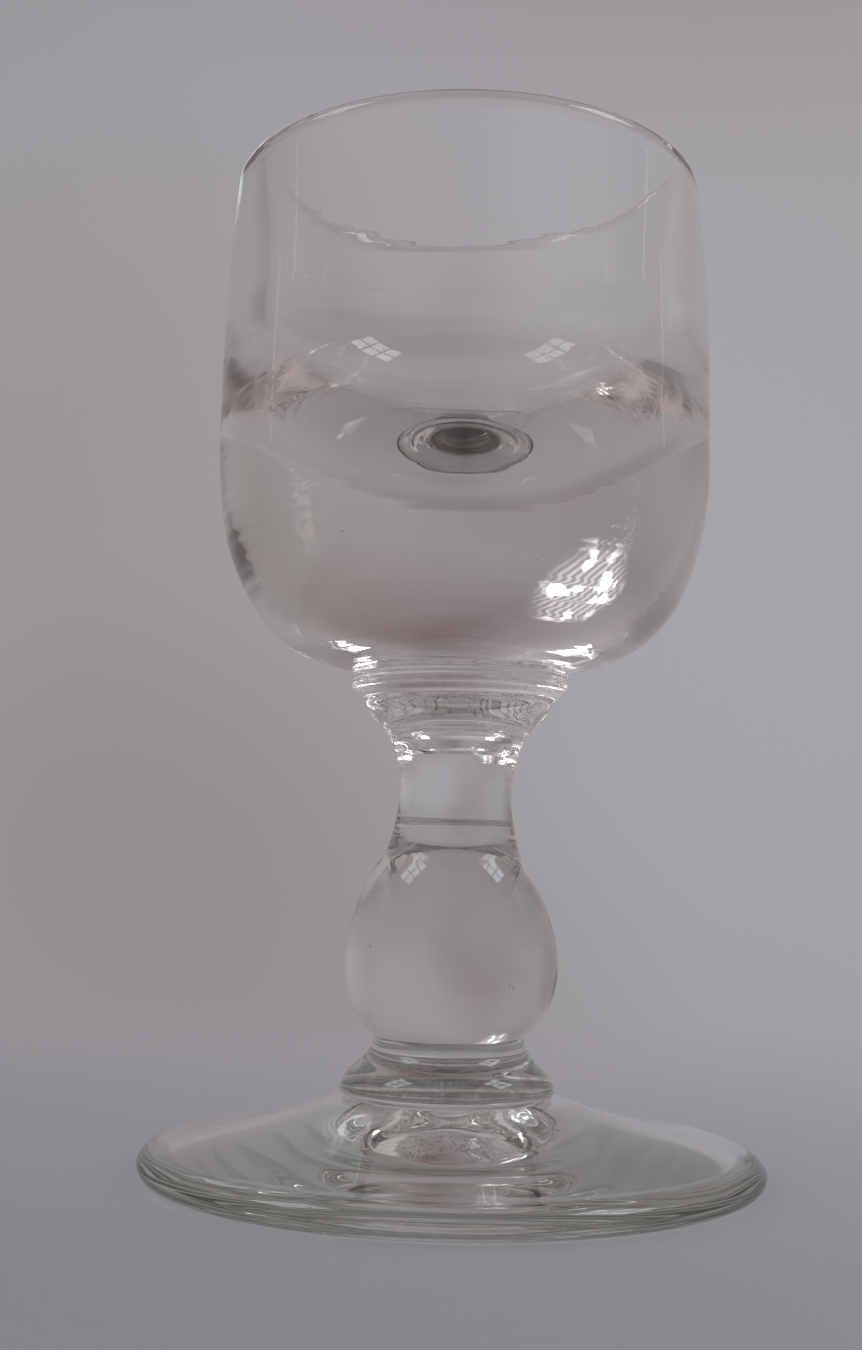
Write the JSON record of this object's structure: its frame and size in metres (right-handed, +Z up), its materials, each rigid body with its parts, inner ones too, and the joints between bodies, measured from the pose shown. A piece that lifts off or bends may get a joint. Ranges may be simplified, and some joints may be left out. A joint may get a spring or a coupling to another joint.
{
  "type": "stemmed drinking glass",
  "caption": "Small hand-made clear glass goblet: thick-based barrel bowl on a collared stem with a pear-shaped knop and a heavy round foot.",
  "frame": {"origin": "centre of the footprint, on the plane the foot rests on", "axes": "+Z up along the axis of the bowl and stem; round about Z, so +X and +Y are free choices"},
  "size_m": [0.0684, 0.0684, 0.113],
  "materials": {
    "clear_glass": "fire-polished, clear with a faint warm grey tint"
  },
  "bodies": {
    "root": {"bowl": "clear_glass", "upper_collar": "clear_glass", "stem_column": "clear_glass", "knop": "clear_glass", "lower_collar": "clear_glass", "foot": "clear_glass"}
  },
  "joints": []
}
